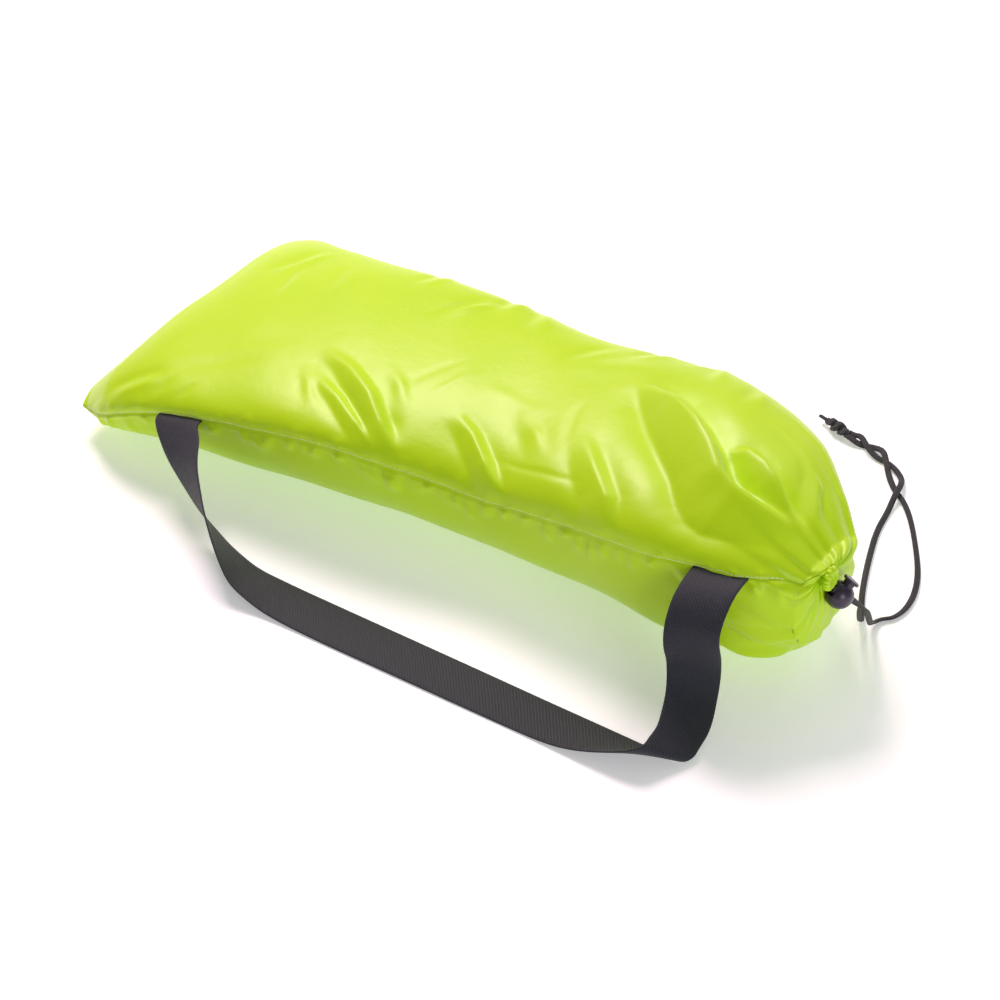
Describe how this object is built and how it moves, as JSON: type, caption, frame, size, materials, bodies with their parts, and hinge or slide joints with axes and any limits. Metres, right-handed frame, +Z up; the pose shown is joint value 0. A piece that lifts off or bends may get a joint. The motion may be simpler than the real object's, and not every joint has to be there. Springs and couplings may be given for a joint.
{
  "type": "towable tube in its drawstring carry bag",
  "caption": "Soft nylon drawstring bag packed full, lying on its side, with a webbing carry strap and a spring cord lock on its drawcord.",
  "frame": {"origin": "on the floor under the middle of the packed bag", "axes": "+X from the sewn end to the gathered mouth, -Y to the side with the carry strap, +Z up"},
  "size_m": [0.6076, 0.4138, 0.1374],
  "materials": {
    "bag_nylon": "satin",
    "webbing": "satin",
    "thread": "satin",
    "cord_braid": "matte",
    "lock_plastic": "satin",
    "spring_steel": "satin",
    "tube_nylon": "satin",
    "bladder_pvc": "satin",
    "valve_plastic": "gloss",
    "tow_plastic": "matte",
    "grip_foam": "matte"
  },
  "bodies": {
    "bag": {"top_panel": "bag_nylon", "bottom_panel": "bag_nylon", "end_seam": "bag_nylon", "mouth_gather": "bag_nylon", "mouth_hem": "bag_nylon", "drawcord_ring": "cord_braid", "strap_end_left": "webbing", "strap_end_right": "webbing", "strap_stitching_left": "thread", "strap_stitching_right": "thread", "drawcord_strand_a": "cord_braid", "drawcord_strand_b": "cord_braid", "drawcord_knot": "cord_braid", "drawcord_tail": "cord_braid", "tube_cover": "tube_nylon", "tube_bladder": "bladder_pvc", "valve_base": "valve_plastic", "valve_cap": "valve_plastic", "tow_connector": "tow_plastic", "tow_webbing": "webbing", "handle_grip_front": "grip_foam", "handle_grip_back": "grip_foam", "grab_handle_front": "webbing", "grab_handle_back": "webbing"},
    "strap": {"carry_strap": "webbing"},
    "cord_lock": {"lock_barrel": "lock_plastic", "lock_spring": "spring_steel"},
    "plunger": {"lock_plunger": "lock_plastic"}
  },
  "joints": [
    {"name": "strap_lift", "type": "hinge", "parent": "bag", "child": "strap", "pos_m": [0.25285, -0.09626, 0.09772], "axis": [-0.9951, -0.0501, -0.0848], "range_deg": [0, 90]},
    {"name": "lock_slide", "type": "slide", "parent": "bag", "child": "cord_lock", "axis": [0.3158, 0.6345, -0.7055], "range_m": [0, 0.005]},
    {"name": "plunger_press", "type": "slide", "parent": "cord_lock", "child": "plunger", "axis": [-0.3521, -0.6121, -0.7081], "range_m": [0, 0.0034], "stiffness_N_per_m": 800, "springref_m": -0.003}
  ]
}
